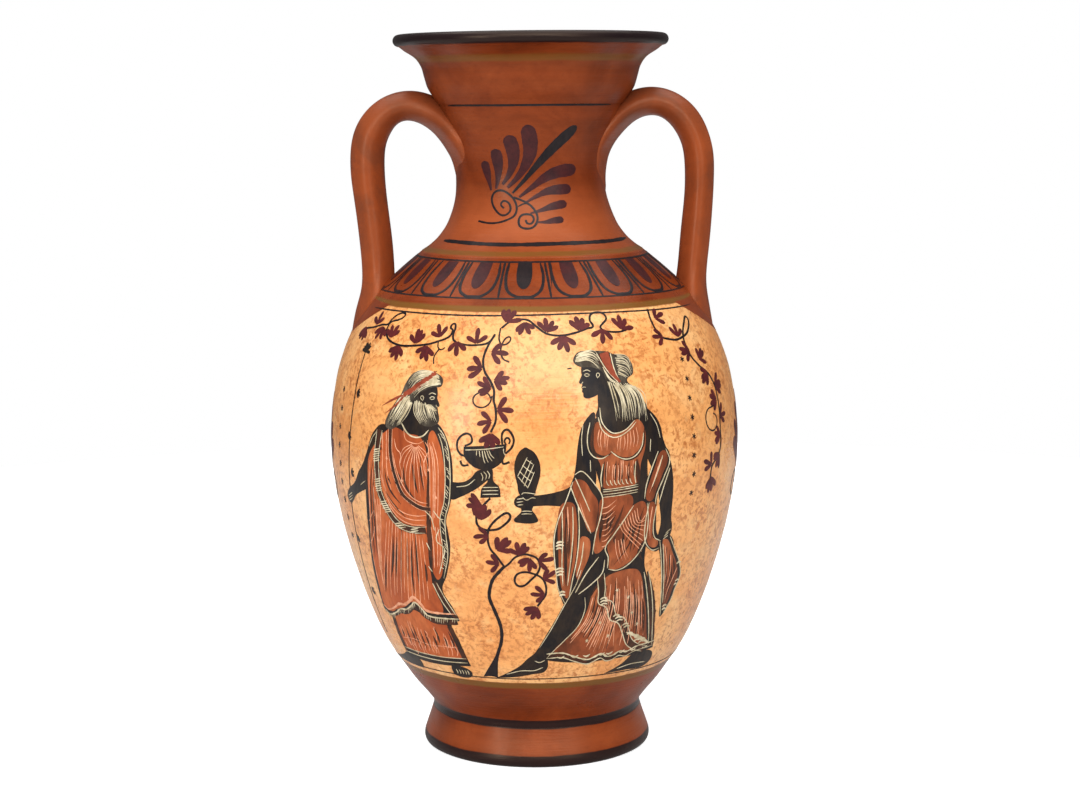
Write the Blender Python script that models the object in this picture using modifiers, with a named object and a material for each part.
"""A painted amphora: foot, body, neck, mouth and two pulled handles, luted together.

Metres, +Z up. The origin is the centre of the standing face, the handles lie along X
and the painted front faces -Y. Run it with: blender --background --python part.py
"""

import math

import bmesh
import bpy
from mathutils import Vector
from mathutils.geometry import interpolate_bezier

MM = 0.001

# Driving sizes
HEIGHT = 330.0 * MM
WALL = 5.0 * MM  # thrown wall of body and neck
GAP = 0.3 * MM  # slip joint left open between two pieces
LATHE_STEPS = 48
SPAN_STEPS = 2  # straight steps in each span of a smoothed outline

FOOT_TOP = 17.6 * MM
BODY_TOP = 231.4 * MM
NECK_TOP = 298.5 * MM
BODY_BOTTOM = FOOT_TOP + GAP
NECK_BOTTOM = BODY_TOP + GAP
MOUTH_BOTTOM = NECK_TOP + GAP

FLOOR_TOP = 25.0 * MM  # inside of the body's floor
BASE_SPIGOT_RADIUS = 30.0 * MM  # boss under the body that the foot ring is fitted over
BASE_SPIGOT_DEPTH = 4.0 * MM
COLLAR_RADIUS = 44.5 * MM  # opening in the shoulder that takes the neck's spigot
COLLAR_DEPTH = 5.0 * MM
THROAT_RADIUS = 36.5 * MM  # top of the neck's bore, which takes the mouth's spigot
THROAT_DEPTH = 4.0 * MM
SPIGOT_WALL = 4.0 * MM

# Outer outlines, as (radius, height) in millimetres, from the top down
MOUTH_BELL = ((57.5, 322.6), (53.0, 319.4), (50.4, 315.6), (49.0, 311.0), (46.9, 305.6), (42.6, 298.8))
NECK_SIDE = (
    (42.2, 298.5), (38.6, 286.0), (35.5, 276.0), (34.1, 266.0), (35.2, 255.5),
    (38.9, 245.2), (44.0, 238.2), (51.6, 231.7),
)
BODY_SIDE = (
    (51.6, 231.4), (61.6, 223.0), (74.0, 211.0), (84.2, 195.0), (91.6, 174.0), (94.7, 146.0),
    (92.4, 119.0), (85.2, 88.5), (72.6, 55.0), (60.0, 35.0), (51.3, 24.0), (48.9, 20.4), (48.8, 17.9),
)
FOOT_SIDE = ((48.8, 17.6), (50.6, 12.6), (53.0, 7.4), (53.4, 4.2), (52.4, 1.4), (50.6, 0.0))

# Inside of the mouth, from the top of the lip down, and of the foot ring, from the bottom up
FUNNEL_SIDE = ((57.6, 329.0), (50.0, 322.5), (44.6, 314.0), (39.6, 304.5), (36.2, 298.8))
FOOT_HOLLOW = ((39.0, 0.0), (35.4, 6.0), (33.6, 11.0))
LIP_RADIUS = 63.2 * MM
LIP_EDGE = 2.7 * MM  # radius of the lip's rounded edge
FOOT_RING_INNER = 30.3 * MM  # the foot's hole at its top

# Handles: centreline as (reach, height) from the neck, over the top and down into the
# shoulder, with the section's size there and its depth along Y, both as shares
HANDLE_LINE = (
    (24.0, 270.0, 1.25, 1.30), (31.0, 281.0, 1.20, 2.10), (37.5, 288.6, 1.10, 1.95), (46.0, 295.1, 1.0, 1.55),
    (56.0, 297.8, 1.0, 1.30), (65.0, 296.0, 1.0, 1.25), (71.6, 290.2, 1.0, 1.25), (75.5, 281.5, 1.0, 1.25),
    (76.5, 271.0, 1.0, 1.25), (75.4, 257.0, 1.0, 1.25), (73.6, 240.0, 1.0, 1.25), (71.8, 224.0, 1.02, 1.35),
    (70.5, 211.0, 1.12, 1.90), (68.0, 199.0, 1.25, 2.20),
)
HANDLE_SIDES = 12

TERRACOTTA = (0.36, 0.085, 0.025)
OCHRE = (0.80, 0.47, 0.20)
BLACK_SLIP = (0.02, 0.014, 0.013)


def clear_scene():
    for obj in list(bpy.data.objects):
        bpy.data.objects.remove(obj, do_unlink=True)


def new_collection(name):
    collection = bpy.data.collections.new(name)
    bpy.context.scene.collection.children.link(collection)
    return collection


def clay(name, colour, roughness):
    """A Principled material of fired clay or slip."""
    material = bpy.data.materials.new(name)
    material.use_nodes = True
    shader = material.node_tree.nodes["Principled BSDF"]
    shader.inputs["Base Color"].default_value = (*colour, 1.0)
    shader.inputs["Roughness"].default_value = roughness
    shader.inputs["Metallic"].default_value = 0.0
    material.diffuse_color = (*colour, 1.0)
    return material


def outline(points):
    """(radius, height) pairs in millimetres as points of the XZ half plane in metres."""
    return [Vector((radius, 0.0, height)) * MM for radius, height in points]


def smooth(points, per_span):
    """Points along a curve through the given ones, with Catmull-Rom tangents."""
    curve = []
    last = len(points) - 1
    for i in range(last):
        before, start = points[max(i - 1, 0)], points[i]
        end, after = points[i + 1], points[min(i + 2, last)]
        reach = (end - start).length
        leave = (end - before).normalized() * reach / 3
        arrive = (after - start).normalized() * reach / 3
        curve += interpolate_bezier(start, start + leave, end - arrive, end, per_span + 1)[:-1]
    return curve + [points[-1]]


def offset(points, distance):
    """The line moved sideways in the XZ plane: to the axis if distance is positive."""
    moved = []
    last = len(points) - 1
    for i, point in enumerate(points):
        along = (points[min(i + 1, last)] - points[max(i - 1, 0)]).normalized()
        moved.append(point + Vector((along.z, 0.0, -along.x)) * distance)
    return moved


def between(points, lowest, highest):
    return [point for point in points if lowest < point.z < highest]


def turned(name, profile, collection, closed):
    """A solid of revolution: the profile runs down its outer side and up its inner side."""
    mesh = bpy.data.meshes.new(name)
    count = len(profile)
    edges = [(i, (i + 1) % count) for i in range(count if closed else count - 1)]
    mesh.from_pydata(profile, edges, [])
    obj = bpy.data.objects.new(name, mesh)
    collection.objects.link(obj)
    screw = obj.modifiers.new("Lathe", "SCREW")
    screw.axis = "Z"
    screw.steps = LATHE_STEPS
    screw.render_steps = LATHE_STEPS
    screw.use_merge_vertices = True
    screw.merge_threshold = 0.01 * MM
    return obj


def point(radius, height):
    return Vector((radius, 0.0, height))


def make_foot(collection):
    """A flared ring, hollow underneath, with a flat face on top and a flat ring to stand on."""
    side = smooth(outline(FOOT_SIDE), SPAN_STEPS)
    hollow = smooth(outline(FOOT_HOLLOW), SPAN_STEPS)
    top = [point(FOOT_RING_INNER, FOOT_TOP - BASE_SPIGOT_DEPTH), point(FOOT_RING_INNER, FOOT_TOP)]
    return turned("foot", side + hollow + top, collection, closed=True)


def make_body(collection):
    """The belly and shoulder: a thrown shell with a closed floor and a collar for the neck."""
    side = smooth(outline(BODY_SIDE), SPAN_STEPS)
    bottom = BODY_BOTTOM - BASE_SPIGOT_DEPTH + GAP
    boss = [
        point(BASE_SPIGOT_RADIUS, BODY_BOTTOM),
        point(BASE_SPIGOT_RADIUS, bottom),
        point(0.0, bottom),
    ]
    floor_edge = point(43.0 * MM, FLOOR_TOP + 0.6 * MM)
    inside = between(offset(side, WALL), FLOOR_TOP + 6.0 * MM, BODY_TOP - 9.0 * MM)
    inside.reverse()
    collar = [point(COLLAR_RADIUS, BODY_TOP - COLLAR_DEPTH), point(COLLAR_RADIUS, BODY_TOP)]
    profile = [point(0.0, FLOOR_TOP), floor_edge] + inside + collar + side + boss
    return turned("body", profile, collection, closed=False)


def make_neck(collection):
    """An hourglass tube with a spigot that sits in the shoulder's collar."""
    side = smooth(outline(NECK_SIDE), SPAN_STEPS)
    spigot = COLLAR_RADIUS - GAP
    foot = BODY_TOP - COLLAR_DEPTH + GAP
    seat = [point(spigot, NECK_BOTTOM), point(spigot, foot), point(spigot - SPIGOT_WALL, foot)]
    bore = between(offset(side, WALL), NECK_BOTTOM + 2.0 * MM, NECK_TOP - THROAT_DEPTH - 1.0 * MM)
    bore.reverse()
    throat = [
        point(THROAT_RADIUS - SPIGOT_WALL, NECK_TOP - THROAT_DEPTH),
        point(THROAT_RADIUS, NECK_TOP - THROAT_DEPTH),
        point(THROAT_RADIUS, NECK_TOP),
    ]
    return turned("neck", side + seat + bore + throat, collection, closed=True)


def lip_points():
    """The rounded lip, from the inner side of its top over the edge to its underside."""
    centre = Vector((LIP_RADIUS - LIP_EDGE, 0.0, HEIGHT - LIP_EDGE))
    arc = []
    for degrees in range(90, -91, -30):
        turn = math.radians(degrees)
        arc.append(centre + Vector((math.cos(turn), 0.0, math.sin(turn))) * LIP_EDGE)
    return arc


def make_mouth(collection):
    """A bell with a flared lip, and a spigot that sits in the neck's throat."""
    bell = smooth(outline(MOUTH_BELL), SPAN_STEPS)
    spigot = THROAT_RADIUS - GAP
    foot = NECK_TOP - THROAT_DEPTH + GAP
    seat = [
        point(spigot, MOUTH_BOTTOM),
        point(spigot, foot),
        point(spigot - SPIGOT_WALL, foot),
        point(spigot - SPIGOT_WALL, NECK_TOP),
    ]
    funnel = smooth(outline(FUNNEL_SIDE), SPAN_STEPS)[:-1]
    funnel.reverse()
    return turned("mouth", lip_points() + bell + seat + funnel, collection, closed=True)


def make_envelope(collection):
    """A solid a slip joint's gap larger than the turned pieces, to cut the handles' roots."""
    line = []
    for side in (MOUTH_BELL, NECK_SIDE, BODY_SIDE):
        line += offset(smooth(outline(side), SPAN_STEPS), -GAP)
    line = [point(0.0, line[0].z)] + line + [point(0.0, line[-1].z)]
    cutter = turned("envelope", line, collection, closed=False)
    cutter.hide_render = True
    cutter.display_type = "WIRE"
    return cutter


def swept_tube(name, side, stretch, thickness):
    """The handle's centreline as a round tube, made a mesh and drawn out along Y to a strap."""
    reaches, heights, sizes, depths = zip(*HANDLE_LINE)
    line = smooth([Vector(knot) for knot in zip(reaches, heights, sizes)], 2)
    spread = smooth([Vector(knot) for knot in zip(reaches, heights, depths)], 2)
    curve = bpy.data.curves.new(name, "CURVE")
    curve.dimensions = "3D"
    curve.bevel_depth = thickness / 2
    curve.bevel_resolution = HANDLE_SIDES // 2 - 2
    curve.use_fill_caps = True
    spline = curve.splines.new("POLY")
    spline.points.add(len(line) - 1)
    for knot, (reach, height, size) in zip(spline.points, line):
        knot.co = (side * reach * stretch * MM, 0.0, height * MM, 1.0)
        knot.radius = size
    tube = bpy.data.objects.new(name + "_line", curve)
    bpy.context.scene.collection.objects.link(tube)
    graph = bpy.context.evaluated_depsgraph_get()
    mesh = bpy.data.meshes.new_from_object(tube.evaluated_get(graph))
    bpy.data.objects.remove(tube, do_unlink=True)
    bpy.data.curves.remove(curve)
    mesh.name = name
    cage = bmesh.new()
    cage.from_mesh(mesh)
    bmesh.ops.remove_doubles(cage, verts=cage.verts, dist=0.001 * MM)
    for vertex in cage.verts:
        here = Vector((abs(vertex.co.x) / stretch, vertex.co.z)) / MM
        nearest = min(spread, key=lambda knot: (knot.xy - here).length)
        vertex.co.y *= nearest.z
    bmesh.ops.recalc_face_normals(cage, faces=cage.faces)
    cage.to_mesh(mesh)
    cage.free()
    return mesh


def make_handle(name, side, stretch, thickness, envelope, collection):
    """A pulled strap from the neck to the shoulder, its two roots cut to the surfaces."""
    obj = bpy.data.objects.new(name, swept_tube(name, side, stretch, thickness))
    collection.objects.link(obj)
    roots = obj.modifiers.new("Roots", "BOOLEAN")
    roots.operation = "DIFFERENCE"
    roots.object = envelope
    return obj


def main():
    clear_scene()
    amphora = new_collection("amphora")
    cutters = new_collection("cutters")
    terracotta = clay("burnished_terracotta", TERRACOTTA, 0.42)
    foot = make_foot(amphora)
    body = make_body(amphora)
    neck = make_neck(amphora)
    mouth = make_mouth(amphora)
    envelope = make_envelope(cutters)
    left = make_handle("handle_left", -1, 0.985, 14.4 * MM, envelope, amphora)
    right = make_handle("handle_right", 1, 1.0, 12.6 * MM, envelope, amphora)
    for obj in (foot, neck, left, right):
        obj.data.materials.append(terracotta)
    body.data.materials.append(clay("ochre_engobe", OCHRE, 0.5))
    mouth.data.materials.append(clay("black_slip", BLACK_SLIP, 0.35))


main()
